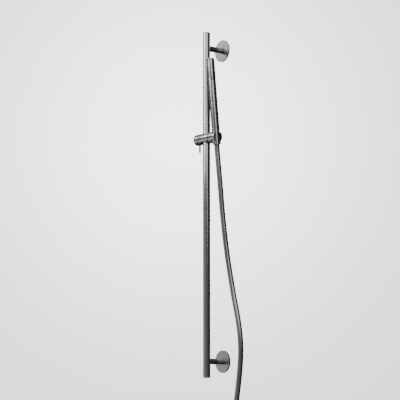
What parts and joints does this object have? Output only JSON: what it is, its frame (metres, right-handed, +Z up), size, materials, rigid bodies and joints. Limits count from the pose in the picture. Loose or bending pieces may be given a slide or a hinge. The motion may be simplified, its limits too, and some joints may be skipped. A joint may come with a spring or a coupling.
{
  "type": "shower slide rail set",
  "caption": "Wall-mounted shower slide rail with sliding, tilting holder, slim stick handset and hose.",
  "frame": {"origin": "middle of the upper wall plate's back face, on the wall", "axes": "+Y into the wall, +Z up along the rail, +X to the right seen from the room"},
  "size_m": [0.2524, 0.0849, 1.1339],
  "materials": {
    "gunmetal": "brushed gunmetal, satin, grain round the turned parts",
    "plated_steel": "bright zinc plate",
    "raw_brass": "machined",
    "black_plastic": "moulded acetal, fine matt",
    "white_plastic": "moulded, plain",
    "black_rubber": "moulded seal rubber",
    "silicone": "soft matt silicone",
    "hose_sheath": "smooth metal-look sheath, satin"
  },
  "bodies": {
    "rail": {"rail_tube": "gunmetal", "rail_top_cap": "gunmetal", "rail_bottom_cap": "gunmetal", "upper_wall_plate": "plated_steel", "upper_wall_screw_left": "plated_steel", "upper_wall_screw_right": "plated_steel", "upper_rosette": "gunmetal", "upper_post": "gunmetal", "upper_post_grub_screw": "plated_steel", "upper_rail_stud": "plated_steel", "upper_rail_insert": "raw_brass", "lower_wall_plate": "plated_steel", "lower_wall_screw_left": "plated_steel", "lower_wall_screw_right": "plated_steel", "lower_rosette": "gunmetal", "lower_post": "gunmetal", "lower_post_grub_screw": "plated_steel", "lower_rail_stud": "plated_steel", "lower_rail_insert": "raw_brass"},
    "rail_bush": {"rail_liner": "black_plastic"},
    "slider": {"slider_body": "gunmetal", "knob_washer": "black_plastic", "tilt_friction_washer": "black_plastic", "tilt_spring_washer": "plated_steel", "tilt_bolt": "plated_steel"},
    "clamp_knob": {"clamp_knob": "gunmetal", "lever_pin": "gunmetal", "clamp_screw": "plated_steel", "knob_cap": "gunmetal"},
    "clamp_pad": {"clamp_pad": "black_plastic"},
    "holder": {"holder_body": "gunmetal", "holder_liner": "black_plastic"},
    "handset": {"handle_tube": "gunmetal", "handset_connector": "raw_brass", "water_tube": "white_plastic", "lower_tube_seal": "black_rubber", "upper_tube_seal": "black_rubber", "flow_limiter": "white_plastic", "union_washer": "black_rubber", "hose_ferrule": "raw_brass", "spray_sleeve": "gunmetal", "spray_plate": "gunmetal", "nozzle_mat": "silicone", "spray_chamber": "white_plastic", "handset_top_cap": "gunmetal"},
    "hose_nut": {"hose_nut": "gunmetal"},
    "hose": {"hose_tube": "hose_sheath", "hose_coil": "hose_sheath", "hose_tie": "black_plastic", "hose_tail": "hose_sheath", "end_ferrule": "raw_brass", "end_washer": "black_rubber"},
    "end_nut": {"end_nut": "gunmetal"}
  },
  "joints": [
    {"name": "slider_height", "type": "slide", "parent": "rail", "child": "rail_bush", "axis": [0, 0, 1], "range_m": [-0.552, 0.205]},
    {"name": "slider_swing", "type": "hinge", "parent": "rail_bush", "child": "slider", "pos_m": [0, -0.0555, -0.24], "axis": [0, 0, 1], "range_deg": [-60, 10]},
    {"name": "knob_turn", "type": "hinge", "parent": "slider", "child": "clamp_knob", "pos_m": [0, -0.0555, -0.24], "axis": [-1, 0, 0], "range_deg": [0, 90]},
    {"name": "pad_travel", "type": "slide", "parent": "slider", "child": "clamp_pad", "axis": [-1, 0, 0], "range_m": [0, 0.0004]},
    {"name": "holder_tilt", "type": "hinge", "parent": "slider", "child": "holder", "pos_m": [0.04, -0.0555, -0.24], "axis": [1, 0, 0], "range_deg": [-15, 40]},
    {"name": "handset_lift", "type": "slide", "parent": "holder", "child": "handset", "axis": [0, -0.0941, 0.9956], "range_m": [0, 0.06]},
    {"name": "nut_spin", "type": "hinge", "parent": "handset", "child": "hose_nut", "pos_m": [0.04, -0.0555, -0.24], "axis": [0, -0.0941, 0.9956], "continuous": true},
    {"name": "hose_bend", "type": "hinge", "parent": "handset", "child": "hose", "pos_m": [0.04, -0.05354, -0.26071], "axis": [1, 0, 0], "range_deg": [-41, 16], "deforming": ["hose_tube"]},
    {"name": "end_nut_spin", "type": "hinge", "parent": "hose", "child": "end_nut", "pos_m": [0.087, -0.0646, -1.06187], "axis": [0, 0, 1], "continuous": true}
  ],
  "couplings": [
    {"joint": "pad_travel", "follows": "knob_turn", "m_per_rad": 0.00025},
    {"joint": "hose_bend", "follows": "holder_tilt", "ratio": -1}
  ]
}
